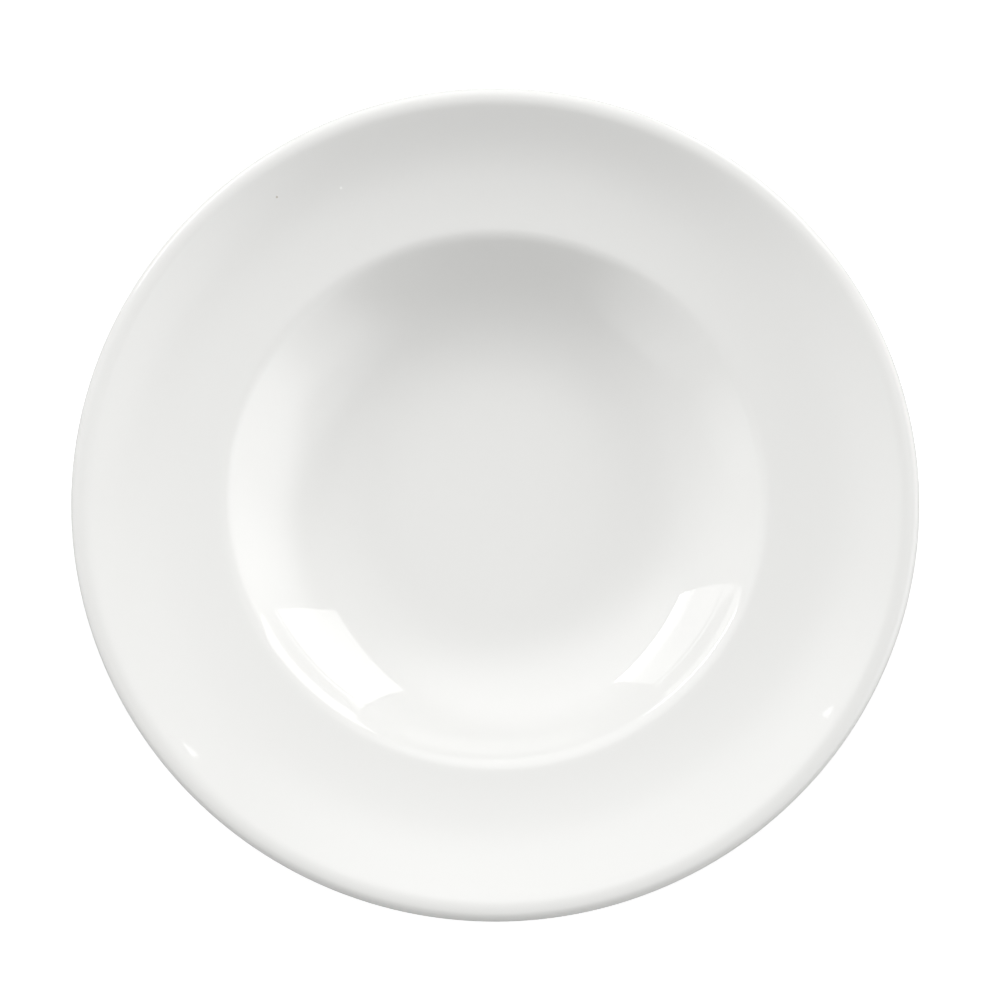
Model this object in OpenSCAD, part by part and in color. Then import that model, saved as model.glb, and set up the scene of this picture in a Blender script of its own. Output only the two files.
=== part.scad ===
// Wide-rimmed pasta bowl in glazed porcelain.
// The section is one unbroken line of tangent arcs, followed from the middle of the
// floor out over the rim, round the lip and back under the bowl to the foot ring.
// Z is up and the bare face of the foot ring stands on Z = 0.

/* [Well] */
// Diameter of the shallow disc in the middle of the floor
floor_d = 90; // [80:1:100]
// Slope of the floor disc at its edge, in degrees
floor_slope = 1.8; // [1:0.1:4]
// Place where the heel passes into the lower wall, as a share of the way from floor_d to well_d
heel_share = 0.355; // [0.3:0.005:0.42]
// Slope where the heel passes into the lower wall, in degrees
heel_slope = 14; // [11:0.5:18]
// Place where the lower wall passes into the upper wall, as a share of the same way
lower_wall_share = 0.735; // [0.65:0.005:0.78]
// Slope where the lower wall passes into the upper wall, in degrees
lower_wall_slope = 36.9; // [33:0.1:38.9]
// Place where the upper wall passes into the band below the shoulder, as a share of the same way
upper_wall_share = 0.88; // [0.84:0.005:0.92]
// Slope where the upper wall passes into that band, in degrees
upper_wall_slope = 41.6; // [40:0.1:42.2]
// Diameter at which the wall of the well turns into the shoulder
well_d = 191; // [185:1:196]
// Slope of the wall where it meets the shoulder, in degrees
wall_slope = 42.5; // [42.3:0.1:48]

/* [Rim] */
// Slope of the wide rim beside the shoulder, in degrees
rim_inner_slope = 8.7; // [5:0.1:12]
// Place where the rim starts to sweep up, as a share of the way from well_d to the roll of the lip
rim_sweep_share = 0.505; // [0.4:0.005:0.6]
// Slope of the rim where it starts to sweep up, in degrees
rim_sweep_slope = 14.2; // [12.5:0.1:18]
// Place where the sweep ends, as a share of the same way
rim_steep_share = 0.845; // [0.75:0.005:0.9]
// Slope of the rim where the sweep ends, in degrees
rim_steep_slope = 27.9; // [22:0.1:28.8]
// Slope of the wide rim beside the lip, in degrees
rim_outer_slope = 29.6; // [29:0.1:34]
// Diameter over the lip, glaze included
rim_d = 300; // [292:1:320]

/* [Thickness] */
// Thickness of the fired body in the middle of the floor
floor_t = 5.4; // [4.4:0.1:7]
// Thickness of the fired body where the wall stands over the foot ring
root_t = 5.6; // [4.8:0.1:6.6]
// Thickness of the fired body in the upper wall, shoulder and rim
wall_t = 4.5; // [3.6:0.1:5]
// Thickness of the fired glaze
glaze_t = 0.25; // [0.15:0.05:0.4]

/* [Rounding] */
// Radius of the bend under the shoulder
under_shoulder_r = 4.4; // [3:0.1:6]
// Radius of the broad roll from the rim over the crest of the lip
lip_roll_r = 8.2; // [5:0.1:10]
// Slope down from the crest at which the lip tightens round its edge, in degrees
lip_crest_slope = 5.4; // [0.5:0.1:10]
// Radius round the edge of the lip
lip_edge_r = 3; // [2.7:0.1:3.6]
// Radius of the hollow that blends the lip into the underside of the rim
lip_blend_r = 6; // [3:0.5:9]
// Radius of the hollow where the underside meets the foot ring
foot_root_r = 3; // [1.5:0.1:4]
// Radius along both edges of the standing face
foot_edge_r = 1.2; // [0.8:0.1:1.4]
// Radius in the corner of the recess inside the foot ring
recess_r = 1.5; // [1:0.1:1.8]

/* [Foot ring] */
// Diameter at which the underside turns down into the foot ring
foot_top_d = 122; // [110:1:124]
// Draft of both sides of the foot ring, in degrees
foot_draft = 14; // [6:0.5:20]
// Width of the flat standing face
foot_face_w = 3; // [2:0.1:4.5]
// Depth of the recess inside the foot ring
recess_h = 3.6; // [3.2:0.1:4]
// Width of the wiped band between the rounded edge and the glaze
wiped_w = 0.6; // [0.3:0.1:0.8]

/* [Hidden] */
$fn = 180;

// Largest turn between two neighbouring points, in degrees, on broad and on tight arcs
broad_turn = 2.5;
tight_turn = 9;

// Headings of the outline, counted from straight outwards
inwards = -180;
downwards = -90;
upwards = -270;

// A point of the outline is [r, z, heading], with the solid on its right-hand side.
function last(line) = line[len(line) - 1];

// The points of an arc that leaves a point of the outline and turns to another heading
function arc(from, heading, radius, turn) =
    let (steps = ceil(abs(heading - from[2]) / turn))
    let (side = sign(heading - from[2]))
    [
        for (i = [1 : 1 : steps])
            let (a = from[2] + (heading - from[2]) * i / steps)
            [
                from[0] + side * radius * (sin(a) - sin(from[2])),
                from[1] + side * radius * (cos(from[2]) - cos(a)),
                a
            ]
    ];

// The end of a straight stretch that leaves a point of the outline and stops at a height
function straight(from, z) =
    [[from[0] + (z - from[1]) * cos(from[2]) / sin(from[2]), z, from[2]]];

// Diameters at which one arc of the well passes into the next
heel_d = floor_d + heel_share * (well_d - floor_d);
lower_wall_d = floor_d + lower_wall_share * (well_d - floor_d);
upper_wall_d = floor_d + upper_wall_share * (well_d - floor_d);

// Radii of the arcs of the well. An arc's width is its radius times the change of the slope's sine.
floor_radius = floor_d / 2 / sin(floor_slope);
heel_radius = (heel_d - floor_d) / 2 / (sin(heel_slope) - sin(floor_slope));
lower_radius = (lower_wall_d - heel_d) / 2 / (sin(lower_wall_slope) - sin(heel_slope));
upper_radius = (upper_wall_d - lower_wall_d) / 2 / (sin(upper_wall_slope) - sin(lower_wall_slope));
band_radius = (well_d - upper_wall_d) / 2 / (sin(wall_slope) - sin(upper_wall_slope));
shoulder_r = under_shoulder_r + wall_t;

// Inside of the well, from the middle of the floor up and over the shoulder
floor_start = [0, recess_h + floor_t, 0];
floor_line = arc(floor_start, floor_slope, floor_radius, broad_turn / 2);
heel_line = arc(last(floor_line), heel_slope, heel_radius, broad_turn);
lower_line = arc(last(heel_line), lower_wall_slope, lower_radius, broad_turn);
upper_line = arc(last(lower_line), upper_wall_slope, upper_radius, broad_turn / 2);
band_line = arc(last(upper_line), wall_slope, band_radius, broad_turn / 2);
shoulder_line = arc(last(band_line), rim_inner_slope, shoulder_r, tight_turn / 2);

// The circle round the edge of the lip, and the broad roll that leads over the crest into it
edge_centre_r = rim_d / 2 - glaze_t - lip_edge_r;
roll_centre_r = edge_centre_r - (lip_roll_r - lip_edge_r) * sin(lip_crest_slope);

// Diameters at which one arc of the rim passes into the next. It ends where it touches the roll.
rim_start_d = well_d + 2 * shoulder_r * (sin(wall_slope) - sin(rim_inner_slope));
rim_end_d = 2 * (roll_centre_r - lip_roll_r * sin(rim_outer_slope));
rim_sweep_d = well_d + rim_sweep_share * (rim_end_d - well_d);
rim_steep_d = well_d + rim_steep_share * (rim_end_d - well_d);

// Upper side of the rim
rim_inner_radius = (rim_sweep_d - rim_start_d) / 2 / (sin(rim_sweep_slope) - sin(rim_inner_slope));
rim_sweep_radius = (rim_steep_d - rim_sweep_d) / 2 / (sin(rim_steep_slope) - sin(rim_sweep_slope));
rim_outer_radius = (rim_end_d - rim_steep_d) / 2 / (sin(rim_outer_slope) - sin(rim_steep_slope));
rim_inner_line = arc(last(shoulder_line), rim_sweep_slope, rim_inner_radius, broad_turn / 2);
rim_sweep_line = arc(last(rim_inner_line), rim_steep_slope, rim_sweep_radius, broad_turn / 2);
rim_outer_line = arc(last(rim_sweep_line), rim_outer_slope, rim_outer_radius, broad_turn / 4);
crest_line = arc(last(rim_outer_line), 0, lip_roll_r, tight_turn / 2);
roll_line = arc(last(crest_line), -lip_crest_slope, lip_roll_r, tight_turn / 2);
edge_line = arc(last(roll_line), downwards, lip_edge_r, tight_turn);

// The blend touches the circle of the edge and the underside of the rim. Its centre makes
// a triangle with the centres of those two circles, and the triangle gives both ends.
rim_end = last(rim_outer_line);
rim_centre_r = rim_end[0] - rim_outer_radius * sin(rim_outer_slope);
rim_centre_z = rim_end[1] + rim_outer_radius * cos(rim_outer_slope);
edge_centre_z = last(edge_line)[1];
edge_bearing = atan2(edge_centre_r - rim_centre_r, rim_centre_z - edge_centre_z);
edge_to_rim = norm([edge_centre_r - rim_centre_r, edge_centre_z - rim_centre_z]);
blend_to_rim = rim_outer_radius + wall_t + lip_blend_r;
blend_to_edge = lip_edge_r + lip_blend_r;
blend_angle = acos((pow(edge_to_rim, 2) + pow(blend_to_rim, 2) - pow(blend_to_edge, 2))
    / (2 * edge_to_rim * blend_to_rim));
under_slope = edge_bearing - blend_angle;
blend_lean = asin(blend_to_rim * sin(blend_angle) / blend_to_edge);
under_edge_line = arc(last(edge_line), inwards + edge_bearing - blend_lean, lip_edge_r, tight_turn);
blend_line = arc(last(under_edge_line), inwards + under_slope, lip_blend_r, tight_turn);

// Underside of the rim, shoulder and upper wall, which follows the inside at a wall's thickness
under_outer_line = arc(last(blend_line), inwards + rim_steep_slope, rim_outer_radius + wall_t,
    broad_turn / 2);
under_sweep_line = arc(last(under_outer_line), inwards + rim_sweep_slope, rim_sweep_radius + wall_t,
    broad_turn / 2);
under_inner_line = arc(last(under_sweep_line), inwards + rim_inner_slope, rim_inner_radius + wall_t,
    broad_turn / 2);
under_shoulder_line = arc(last(under_inner_line), inwards + wall_slope, under_shoulder_r, tight_turn);
under_band_line = arc(last(under_shoulder_line), inwards + upper_wall_slope, band_radius + wall_t,
    broad_turn / 2);
under_upper_line = arc(last(under_band_line), inwards + lower_wall_slope, upper_radius + wall_t,
    broad_turn / 2);

// Underside of the lower wall, which thickens down to the root of the foot ring
root_r = foot_top_d / 2;
slope_over_root = asin(sin(floor_slope) + (root_r - floor_d / 2) / heel_radius);
z_over_root = last(floor_line)[1] + heel_radius * (cos(floor_slope) - cos(slope_over_root));
root_z = z_over_root - root_t / cos(slope_over_root);
under_top = last(under_upper_line);
under_span = under_top[0] - root_r;
root_slope = 2 * atan2(under_top[1] - root_z, under_span) - lower_wall_slope;
under_lower_radius = under_span / (sin(lower_wall_slope) - sin(root_slope));
under_lower_line = arc(under_top, inwards + root_slope, under_lower_radius, broad_turn);

// Foot ring: outer side, standing face, inner side and the recess that it encloses
edge_z = foot_edge_r * (1 - sin(foot_draft));
wiped_z = edge_z + wiped_w;
root_line = arc(last(under_lower_line), downwards - foot_draft, foot_root_r, tight_turn);
glazed_side = straight(last(root_line), wiped_z);
wiped_side = straight(last(glazed_side), edge_z);
outer_edge = arc(last(wiped_side), inwards, foot_edge_r, 2 * tight_turn);
standing_face = [[last(outer_edge)[0] - foot_face_w, 0, inwards]];
inner_edge = arc(last(standing_face), upwards + foot_draft, foot_edge_r, 2 * tight_turn);
wiped_inside = straight(last(inner_edge), wiped_z);
glazed_inside = straight(last(wiped_inside), recess_h - recess_r * (1 - sin(foot_draft)));
recess_corner = arc(last(glazed_inside), inwards, recess_r, 2 * tight_turn);
recess_roof = [[0, recess_h, inwards]];

// Stretches of the outline: under the coat, wiped bare, and under the recess glaze
inside_line = concat([floor_start], floor_line, heel_line, lower_line, upper_line, band_line,
    shoulder_line);
rim_line = concat(rim_inner_line, rim_sweep_line, rim_outer_line);
lip_line = concat(crest_line, roll_line, edge_line, under_edge_line, blend_line);
underside_line = concat(under_outer_line, under_sweep_line, under_inner_line, under_shoulder_line,
    under_band_line, under_upper_line, under_lower_line);
coated_line = concat(inside_line, rim_line, lip_line, underside_line, root_line, glazed_side);
bare_line = concat(wiped_side, outer_edge, standing_face, inner_edge);
recess_line = concat(wiped_inside, glazed_inside, recess_corner, recess_roof);

// The points of a stretch, moved out of the solid by a thickness
function moved(line, t) = [for (p = line) [p[0] - t * sin(p[2]), p[1] + t * cos(p[2])]];

function reversed(line) = [for (i = [len(line) - 1 : -1 : 0]) line[i]];

// A coat of glaze on a stretch of the outline, which has the body's own points on its back
module coat(line) {
    rotate_extrude()
        polygon(concat(moved(line, glaze_t), reversed(moved(line, 0))));
}

// The fired body: floor, wall, wide rim, lip and foot ring in one piece
module porcelain_body() {
    color("#efece4")
        rotate_extrude()
            polygon(moved(concat(coated_line, bare_line, recess_line), 0));
}

// The glaze over the inside, the rim, the lip and the underside
module glaze_coat() {
    color("#fcfcfa")
        coat(coated_line);
}

// The patch of glaze inside the foot ring
module recess_glaze() {
    color("#f7f7f4")
        coat(recess_line);
}

porcelain_body();
glaze_coat();
recess_glaze();
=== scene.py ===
from math import acos, asin, atan2, ceil, cos, pi, radians, sin

import bmesh
import bpy
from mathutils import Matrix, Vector


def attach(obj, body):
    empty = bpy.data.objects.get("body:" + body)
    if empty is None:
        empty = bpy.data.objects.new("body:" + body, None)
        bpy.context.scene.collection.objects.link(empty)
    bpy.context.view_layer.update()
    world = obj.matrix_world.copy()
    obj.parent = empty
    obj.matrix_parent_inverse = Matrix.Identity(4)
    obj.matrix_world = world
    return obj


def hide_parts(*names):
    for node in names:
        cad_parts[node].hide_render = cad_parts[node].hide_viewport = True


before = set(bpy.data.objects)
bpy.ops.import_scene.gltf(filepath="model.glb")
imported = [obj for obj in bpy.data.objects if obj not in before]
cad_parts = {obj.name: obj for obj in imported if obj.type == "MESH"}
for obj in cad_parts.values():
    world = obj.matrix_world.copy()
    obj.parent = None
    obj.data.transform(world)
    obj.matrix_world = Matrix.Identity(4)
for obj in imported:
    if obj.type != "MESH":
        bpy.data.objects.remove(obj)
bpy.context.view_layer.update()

# The camera looks down on the bowl from the front, about 11 degrees off the vertical and
# near enough for the far side of the rim to look smaller than the near side.
LIP_HEIGHT = 0.0471
CAMERA_DISTANCE = 0.567
CAMERA_TILT = radians(11.17)
FOCAL_PIXELS = 1600
PICTURE_PIXELS = 1000
LIP_CENTRE_PIXEL = (495.25, 484)

camera_data = bpy.data.cameras.new("camera")
camera_data.sensor_width = 36
camera_data.lens = camera_data.sensor_width * FOCAL_PIXELS / PICTURE_PIXELS
camera_data.shift_x = 0.5 - LIP_CENTRE_PIXEL[0] / PICTURE_PIXELS
camera_data.shift_y = LIP_CENTRE_PIXEL[1] / PICTURE_PIXELS - 0.5
camera = bpy.data.objects.new("camera", camera_data)
camera.location = (0, -CAMERA_DISTANCE * sin(CAMERA_TILT), LIP_HEIGHT + CAMERA_DISTANCE * cos(CAMERA_TILT))
camera.rotation_euler = (CAMERA_TILT, 0, 0)
bpy.context.scene.collection.objects.link(camera)
bpy.context.scene.camera = camera

# The fired porcelain body: floor, wall, wide rim, rolled lip and foot ring, shaped in one
# piece from one lump of clay. Only the wiped standing face of its foot ring stays bare.
FLOOR_R = 0.045
WELL_R = 0.0955
# Joints of the arcs of the section, as a share of the way from the floor disc to the well's
# edge, or for the rim from that edge to the roll of the lip, with the slope there.
WELL_JOINTS = ((0, radians(1.8)), (0.355, radians(14)), (0.735, radians(36.9)),
               (0.88, radians(41.6)), (1, radians(42.5)))
# The forming tool left a turning line high up in the well, a few micrometres deep, as distances
# from the axis and the slope there.
TURNING_LINE = ((0.0898, radians(42.1)), (0.09035, radians(41.2)), (0.0908, radians(41.8)))
TURNING_LINE_STEPS = 4
RIM_INNER_SLOPE = radians(8.7)
RIM_JOINTS = ((0.505, radians(14.2)), (0.845, radians(27.9)))
RIM_OUTER_SLOPE = radians(29.6)
RIM_R = 0.150
FLOOR_T = 0.0054
ROOT_T = 0.0056
WALL_T = 0.0045
GLAZE_T = 0.00025
UNDER_SHOULDER_R = 0.0044
LIP_ROLL_R = 0.0082
LIP_CREST_SLOPE = radians(5.4)
LIP_EDGE_R = 0.003
LIP_BLEND_R = 0.006
FOOT_TOP_R = 0.061
FOOT_DRAFT = radians(14)
FOOT_ROOT_R = 0.003
FOOT_EDGE_R = 0.0012
FOOT_FACE_W = 0.003
RECESS_R = 0.0015
RECESS_H = 0.0036
WIPED_W = 0.0006
EDGE_HEIGHT = FOOT_EDGE_R * (1 - sin(FOOT_DRAFT))
LIP_CENTRE_R = RIM_R - GLAZE_T - LIP_EDGE_R
ROLL_CENTRE_R = LIP_CENTRE_R - (LIP_ROLL_R - LIP_EDGE_R) * sin(LIP_CREST_SLOPE)
RIM_END_R = ROLL_CENTRE_R - LIP_ROLL_R * sin(RIM_OUTER_SLOPE)
INWARDS = -pi
DOWNWARDS = -pi / 2
UPWARDS = -3 * pi / 2
LONGEST_STEP = 0.0025
WIDEST_TURN = radians(5)
LATHE_STEPS = 240
MERGE_DISTANCE = 1e-7


class Section:
    """A section drawn as one line of tangent arcs, with the solid on its right-hand side."""

    def __init__(self, start, heading, lift=0):
        self.mesh = bmesh.new()
        self.lift = lift
        self.heading = heading
        left = Vector((-sin(heading), 0, cos(heading)))
        self.tip = self.mesh.verts.new(Vector(start) + left * lift)

    def arc(self, heading, radius, least_steps=1):
        """Turns to a new heading round a radius, which is that of the fired body's own line."""
        turn = heading - self.heading
        side = 1 if turn > 0 else -1
        left = Vector((-sin(self.heading), 0, cos(self.heading)))
        centre = self.tip.co + left * (side * radius - self.lift)
        steps = ceil(max(abs(turn) / WIDEST_TURN, abs(turn) * radius / LONGEST_STEP, least_steps))
        spun = bmesh.ops.spin(self.mesh, geom=[self.tip], cent=centre, axis=(0, -1, 0), angle=turn,
                              steps=steps)
        self.tip = next(item for item in spun["geom_last"] if isinstance(item, bmesh.types.BMVert))
        self.heading = heading

    def climb(self, reach, slope, least_steps=1):
        """Climbs to a slope at a distance from the axis, and returns the radius of that arc."""
        radius = abs((reach - self.reach()) / (sin(slope) - sin(self.heading)))
        self.arc(slope, radius, least_steps)
        return radius

    def run(self, length, steps=1):
        """Goes straight on."""
        for _ in range(steps):
            grown = bmesh.ops.extrude_vert_indiv(self.mesh, verts=[self.tip])
            self.tip = grown["verts"][0]
            along = Vector((cos(self.heading), 0, sin(self.heading)))
            bmesh.ops.translate(self.mesh, verts=[self.tip], vec=along * length / steps)

    def height(self):
        """Height of the fired body's own line at the tip."""
        return self.tip.co.z - self.lift * cos(self.heading)

    def reach(self):
        """Distance from the axis of the fired body's own line at the tip."""
        return self.tip.co.x + self.lift * sin(self.heading)


def draw_coated_line(section):
    """All that the coat of glaze covers, from the middle of the floor to the wiped band."""
    well = [section.climb(FLOOR_R + share * (WELL_R - FLOOR_R), slope)
            for share, slope in WELL_JOINTS[:4]]
    for reach, slope in TURNING_LINE:
        section.climb(reach, slope, TURNING_LINE_STEPS)
    well.append(section.climb(WELL_R, WELL_JOINTS[4][1]))
    section.arc(RIM_INNER_SLOPE, UNDER_SHOULDER_R + WALL_T)
    rim = [section.climb(WELL_R + share * (RIM_END_R - WELL_R), slope)
           for share, slope in RIM_JOINTS]
    rim.append(section.climb(RIM_END_R, RIM_OUTER_SLOPE))
    rim_centre = Vector((section.reach() - rim[2] * sin(RIM_OUTER_SLOPE),
                         section.height() + rim[2] * cos(RIM_OUTER_SLOPE)))
    section.arc(-LIP_CREST_SLOPE, LIP_ROLL_R)
    section.arc(DOWNWARDS, LIP_EDGE_R)
    draw_blend(section, rim[2], Vector((LIP_CENTRE_R, section.height())) - rim_centre)
    section.arc(INWARDS + RIM_JOINTS[1][1], rim[2] + WALL_T)
    section.arc(INWARDS + RIM_JOINTS[0][1], rim[1] + WALL_T)
    section.arc(INWARDS + RIM_INNER_SLOPE, rim[0] + WALL_T)
    section.arc(INWARDS + WELL_JOINTS[4][1], UNDER_SHOULDER_R)
    section.arc(INWARDS + WELL_JOINTS[3][1], well[4] + WALL_T)
    section.arc(INWARDS + WELL_JOINTS[2][1], well[3] + WALL_T)
    draw_under_lower_wall(section, well[0], well[1])
    section.arc(DOWNWARDS - FOOT_DRAFT, FOOT_ROOT_R)
    section.run((section.height() - EDGE_HEIGHT - WIPED_W) / cos(FOOT_DRAFT), 4)


def draw_blend(section, rim_radius, rim_to_edge):
    """The underside of the lip, and the hollow that blends it into the underside of the rim."""
    bearing = atan2(rim_to_edge.x, -rim_to_edge.y)
    rim_to_blend = rim_radius + WALL_T + LIP_BLEND_R
    edge_to_blend = LIP_EDGE_R + LIP_BLEND_R
    angle = acos((rim_to_edge.length_squared + rim_to_blend ** 2 - edge_to_blend ** 2)
                 / (2 * rim_to_edge.length * rim_to_blend))
    lean = asin(rim_to_blend * sin(angle) / edge_to_blend)
    section.arc(INWARDS + bearing - lean, LIP_EDGE_R)
    section.arc(INWARDS + bearing - angle, LIP_BLEND_R)


def draw_under_lower_wall(section, floor_radius, heel_radius):
    """The underside of the lower wall, which thickens down to the root of the foot ring."""
    floor_slope, top_slope = WELL_JOINTS[0][1], WELL_JOINTS[2][1]
    slope_over_root = asin(sin(floor_slope) + (FOOT_TOP_R - FLOOR_R) / heel_radius)
    rise = (floor_radius * (1 - cos(floor_slope))
            + heel_radius * (cos(floor_slope) - cos(slope_over_root)))
    root_height = RECESS_H + FLOOR_T + rise - ROOT_T / cos(slope_over_root)
    span = section.reach() - FOOT_TOP_R
    root_slope = 2 * atan2(section.height() - root_height, span) - top_slope
    section.arc(INWARDS + root_slope, span / (sin(top_slope) - sin(root_slope)))


def draw_recess(section, start=0):
    """Inner side of the foot ring from the wiped band up, and the roof of the recess."""
    side = (RECESS_H - RECESS_R * (1 - sin(FOOT_DRAFT)) - EDGE_HEIGHT - WIPED_W) / cos(FOOT_DRAFT)
    section.run(side - start)
    section.arc(INWARDS, RECESS_R)
    section.run(section.reach(), 12)


def lathe(section, name):
    """Turns a section round the bowl's axis into a finished mesh object."""
    mesh = section.mesh
    bmesh.ops.spin(mesh, geom=mesh.verts[:] + mesh.edges[:], cent=(0, 0, 0), axis=(0, 0, 1),
                   angle=2 * pi, steps=LATHE_STEPS, use_merge=True)
    bmesh.ops.remove_doubles(mesh, verts=mesh.verts[:], dist=MERGE_DISTANCE)
    bmesh.ops.recalc_face_normals(mesh, faces=mesh.faces[:])
    for face in mesh.faces:
        face.smooth = True
    data = bpy.data.meshes.new(name)
    mesh.to_mesh(data)
    mesh.free()
    piece = bpy.data.objects.new(name, data)
    bpy.context.scene.collection.objects.link(piece)
    return piece


def add_node(tree, kind, settings=None, inputs=None):
    """Adds a node, with its settings, and its inputs as values or as sockets to link from."""
    node = tree.nodes.new(kind)
    for key, value in (settings or {}).items():
        setattr(node, key, value)
    for key, value in (inputs or {}).items():
        if isinstance(value, bpy.types.NodeSocket):
            tree.links.new(value, node.inputs[key])
        else:
            node.inputs[key].default_value = value
    return node


def linear(hex_colour):
    """The linear colour of an sRGB hex value."""
    shares = [int(hex_colour[i:i + 2], 16) / 255 for i in (1, 3, 5)]
    return (*[s / 12.92 if s <= 0.04045 else ((s + 0.055) / 1.055) ** 2.4 for s in shares], 1)


body_section = Section((0, 0, RECESS_H + FLOOR_T), 0)
draw_coated_line(body_section)
body_section.run(WIPED_W / cos(FOOT_DRAFT), 2)
body_section.arc(INWARDS, FOOT_EDGE_R)
body_section.run(FOOT_FACE_W, 4)
body_section.arc(UPWARDS + FOOT_DRAFT, FOOT_EDGE_R)
body_section.run(WIPED_W / cos(FOOT_DRAFT), 2)
recess_start = body_section.tip.co.copy()
draw_recess(body_section)
fired_body = lathe(body_section, "fired_body")

# Bare porcelain as the kiln leaves it: matt, warmer than the glaze, and rough to the finger.
# Its grit is about 0.1 mm, and is drawn at 0.6 mm so that it shows.
GRIT_SIZE = 0.0006
GRIT_DEPTH = 0.00003
bare = bpy.data.materials.new("bare_fired_porcelain")
bare.use_nodes = True
tree = bare.node_tree
shader = tree.nodes["Principled BSDF"]
place = add_node(tree, "ShaderNodeTexCoord")
grit = add_node(tree, "ShaderNodeTexNoise", {},
                {"Vector": place.outputs["Object"], "Scale": 1 / GRIT_SIZE, "Detail": 4, "Roughness": 0.65})
tone = add_node(tree, "ShaderNodeValToRGB", {}, {"Fac": grit.outputs["Fac"]})
tone.color_ramp.elements[0].position = 0.3
tone.color_ramp.elements[0].color = linear("#d9d3c6")
tone.color_ramp.elements[1].position = 0.7
tone.color_ramp.elements[1].color = linear("#ebe6db")
tree.links.new(tone.outputs["Color"], shader.inputs["Base Color"])
relief = add_node(tree, "ShaderNodeBump", {},
                  {"Height": grit.outputs["Fac"], "Distance": GRIT_DEPTH, "Strength": 0.6})
tree.links.new(relief.outputs["Normal"], shader.inputs["Normal"])
shader.inputs["Roughness"].default_value = 0.75
shader.inputs["IOR"].default_value = 1.5
fired_body.data.materials.append(bare)
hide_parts("porcelain_body")
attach(fired_body, "root")

# The coat of glaze: a clear glassy skin over the white body, dipped and fired hard, so it
# is smooth and glossy. It ends in a soft roll just above the foot's wiped edge.
coat_section = Section((0, 0, RECESS_H + FLOOR_T), 0, GLAZE_T)
draw_coated_line(coat_section)
coat_section.lift = 0
coat_section.arc(coat_section.heading - pi / 2, GLAZE_T)
coat_back = Section((0, 0, RECESS_H + FLOOR_T), 0)
draw_coated_line(coat_back)
coat_back.run(GLAZE_T)


def join_back(front, back):
    """Adds the back of a skin to its front, so that their ends meet."""
    back_data = bpy.data.meshes.new("back")
    back.mesh.to_mesh(back_data)
    back.mesh.free()
    front.mesh.from_mesh(back_data)
    bpy.data.meshes.remove(back_data)


join_back(coat_section, coat_back)
glaze = lathe(coat_section, "glaze")


# Porcelain under a hard clear glaze: a mirror of the lamps over plain white. The firing
# leaves waves about 20 mm long in it, which bend the edges of the mirrored lamps a little.
WAVE_LENGTH = 0.02
WAVE_DEPTH = 0.00002


def glazed_porcelain(name, colour):
    """White porcelain under clear glaze, with the faint waves that the firing leaves."""
    material = bpy.data.materials.new(name)
    material.use_nodes = True
    tree = material.node_tree
    shader = tree.nodes["Principled BSDF"]
    place = add_node(tree, "ShaderNodeTexCoord")
    wave = add_node(tree, "ShaderNodeTexNoise", {},
                    {"Vector": place.outputs["Object"], "Scale": 1 / WAVE_LENGTH, "Detail": 1,
                     "Roughness": 0.4})
    relief = add_node(tree, "ShaderNodeBump", {},
                      {"Height": wave.outputs["Fac"], "Distance": WAVE_DEPTH, "Strength": 1})
    tree.links.new(relief.outputs["Normal"], shader.inputs["Normal"])
    shader.inputs["Base Color"].default_value = linear(colour)
    shader.inputs["Roughness"].default_value = 0.03
    shader.inputs["IOR"].default_value = 1.5
    return material


glazed = glazed_porcelain("glazed_porcelain", "#efefed")
tree = glazed.node_tree
shader = tree.nodes["Principled BSDF"]
place = tree.nodes["Texture Coordinate"]

# Two spots in the glaze of the rim, as middle, radius and colour: a painted highlight, which is a small
# glint of a lamp painted as a white dot, and a grain of iron.
# Of a Mix node's sockets, 6 and 7 are the colours that go in, and 2 is the one that comes out.
SPECK_AND_PAINTED_GLINT = (((-0.0573, 0.1132, 0.0416), 0.0005, "#fdfdfb"),
          ((-0.0805, 0.1082, 0.0452), 0.0004, "#cfcac0"))
tone = shader.inputs["Base Color"].default_value[:]
for middle, radius, colour in SPECK_AND_PAINTED_GLINT:
    distance = add_node(tree, "ShaderNodeVectorMath", {"operation": "DISTANCE"},
                        {0: place.outputs["Object"], 1: middle})
    spot_mask = add_node(tree, "ShaderNodeMath", {"operation": "LESS_THAN"},
                     {0: distance.outputs["Value"], 1: radius})
    tone = add_node(tree, "ShaderNodeMix", {"data_type": "RGBA"},
                    {"Factor": spot_mask.outputs[0], 6: tone, 7: linear(colour)}).outputs[2]
tree.links.new(tone, shader.inputs["Base Color"])
glaze.data.materials.append(glazed)
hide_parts("glaze_coat")
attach(glaze, "root")

# The glaze inside the foot ring: the same skin, parted from the rest of the coat by the
# wiped ring that the bowl stands on in the kiln.
recess_section = Section(recess_start, UPWARDS + FOOT_DRAFT + pi / 2)
recess_section.arc(UPWARDS + FOOT_DRAFT, GLAZE_T)
recess_section.lift = GLAZE_T
draw_recess(recess_section, GLAZE_T)
recess_back = Section(recess_start, UPWARDS + FOOT_DRAFT)
draw_recess(recess_back)
join_back(recess_section, recess_back)
recess_coat = lathe(recess_section, "recess_coat")
recess_coat.data.materials.append(glazed_porcelain("glazed_porcelain_of_the_recess", "#eeeeea"))
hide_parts("recess_glaze")
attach(recess_coat, "root")

# The studio: a white sweep under the bowl, a long softbox behind it on each side, and soft
# panels round its left, its right and its back. Nothing shines from the front.
FLOOR_SIZE = 6
FLOOR_WHITE = "#c4c4c4"
# The camera sees the sweep with this much light added, so that it comes out white.
FLOOR_LIFT = 0.7

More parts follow.
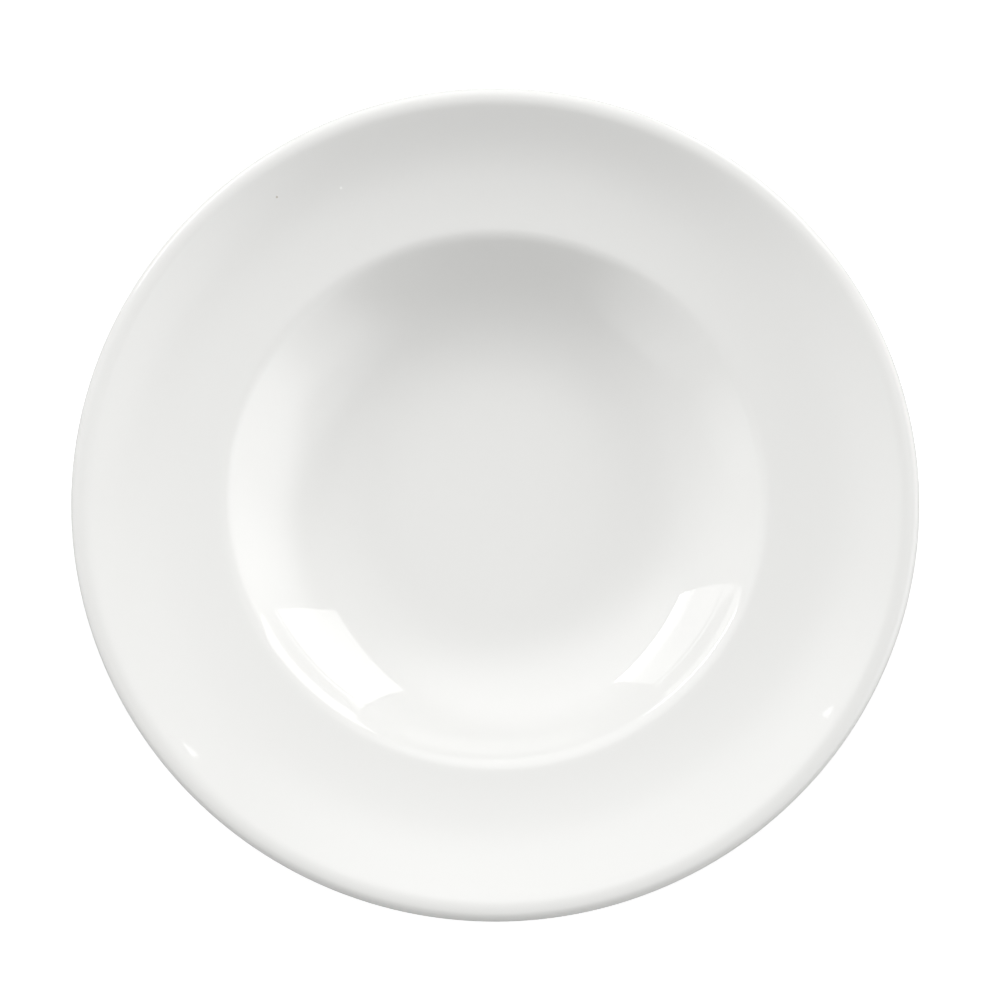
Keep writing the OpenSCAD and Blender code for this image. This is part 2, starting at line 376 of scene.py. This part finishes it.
floor_mesh = bmesh.new()
bmesh.ops.create_grid(floor_mesh, x_segments=1, y_segments=1, size=FLOOR_SIZE / 2)
floor_data = bpy.data.meshes.new("floor")
floor_mesh.to_mesh(floor_data)
floor_mesh.free()
floor = bpy.data.objects.new("floor", floor_data)
bpy.context.scene.collection.objects.link(floor)
sweep = bpy.data.materials.new("matt_white_sweep")
sweep.use_nodes = True
tree = sweep.node_tree
shader = tree.nodes["Principled BSDF"]
shader.inputs["Base Color"].default_value = linear(FLOOR_WHITE)
shader.inputs["Roughness"].default_value = 0.9
shader.inputs["Specular IOR Level"].default_value = 0
shader.inputs["Emission Color"].default_value = (1, 1, 1, 1)
path = add_node(tree, "ShaderNodeLightPath")
lift = add_node(tree, "ShaderNodeMath", {"operation": "MULTIPLY"},
                {0: path.outputs["Is Camera Ray"], 1: FLOOR_LIFT})
tree.links.new(lift.outputs[0], shader.inputs["Emission Strength"])
floor_data.materials.append(sweep)

# Lamps, as side, middle, height, length, turn, lean over the bowl, and radiance: the softbox on
# the right, the one on the left, whose tubes lie along its upper edge so that it fades downwards,
# as three lamps, and two small lamps that hang over the softboxes.
LAMPS = ((1, (0.665, 1.119, 0.52), 0.626, 1.035, radians(-2.2), radians(18.1), 2.85),
         (-1, (-0.691, 0.971, 0.543), 0.1, 0.861, radians(-2.2), radians(29.6), 9),
         (-1, (-0.736, 0.971, 0.465), 0.08, 0.861, radians(-2.2), radians(29.6), 3.2),
         (-1, (-0.81, 0.971, 0.335), 0.219, 0.861, radians(-2.2), radians(29.6), 1.7),
         (1, (0.616, 0.84, 0.975), 0.012, 0.035, radians(54), radians(38), 3.5),
         (-1, (-0.683, 0.766, 0.993), 0.012, 0.03, radians(48), radians(39), 3.5))
for side, middle, height, length, turn, lean, radiance in LAMPS:
    softbox = bpy.data.lights.new("softbox", "AREA")
    softbox.shape = "RECTANGLE"
    softbox.size = height
    softbox.size_y = length
    softbox.energy = radiance * pi * height * length
    lamp = bpy.data.objects.new("softbox", softbox)
    lamp.location = middle
    lamp.rotation_euler = (0, side * (pi / 2 - lean), side * turn)
    bpy.context.scene.collection.objects.link(lamp)

# Soft panels, as azimuth, elevation, the cosine of how far they reach, and radiance in the middle.
# The camera sees plain white instead of them.
PANELS = ((-21.6, 36.4, 0.846, 1.48), (188.7, 10, 0.928, 0.81), (104.8, 37.3, 0.798, 1.77),
          (8, 8.5, 0.748, 2.4), (76.1, 71.2, 0.818, 0.31), (8.9, 59.5, 0.865, 0.42),
          (178.1, 33.1, 0.663, 1.32), (221.3, 23.7, 0.93, 1.21), (-30, 23.7, 0.929, 0.75))
world = bpy.data.worlds.new("studio")
bpy.context.scene.world = world
world.use_nodes = True
tree = world.node_tree
place = add_node(tree, "ShaderNodeTexCoord")
glow = 0
for azimuth, elevation, reach, radiance in PANELS:
    a, e = radians(azimuth), radians(elevation)
    turned = add_node(tree, "ShaderNodeVectorMath", {"operation": "DOT_PRODUCT"},
                      {0: place.outputs["Generated"], 1: (cos(e) * cos(a), cos(e) * sin(a), sin(e))})
    panel = add_node(tree, "ShaderNodeMapRange", {"interpolation_type": "SMOOTHSTEP"},
                     {"Value": turned.outputs["Value"], "From Min": reach, "From Max": 1,
                      "To Min": 0, "To Max": radiance})
    glow = add_node(tree, "ShaderNodeMath", {"operation": "ADD"},
                    {0: panel.outputs["Result"], 1: glow}).outputs[0]
path = add_node(tree, "ShaderNodeLightPath")
seen = add_node(tree, "ShaderNodeMix", {"data_type": "FLOAT"},
                {"Factor": path.outputs["Is Camera Ray"], 2: glow, 3: 1.0})
tree.links.new(seen.outputs[0], tree.nodes["Background"].inputs["Strength"])
tree.nodes["Background"].inputs["Color"].default_value = (1, 1, 1, 1)

bpy.context.scene.view_settings.view_transform = "Standard"
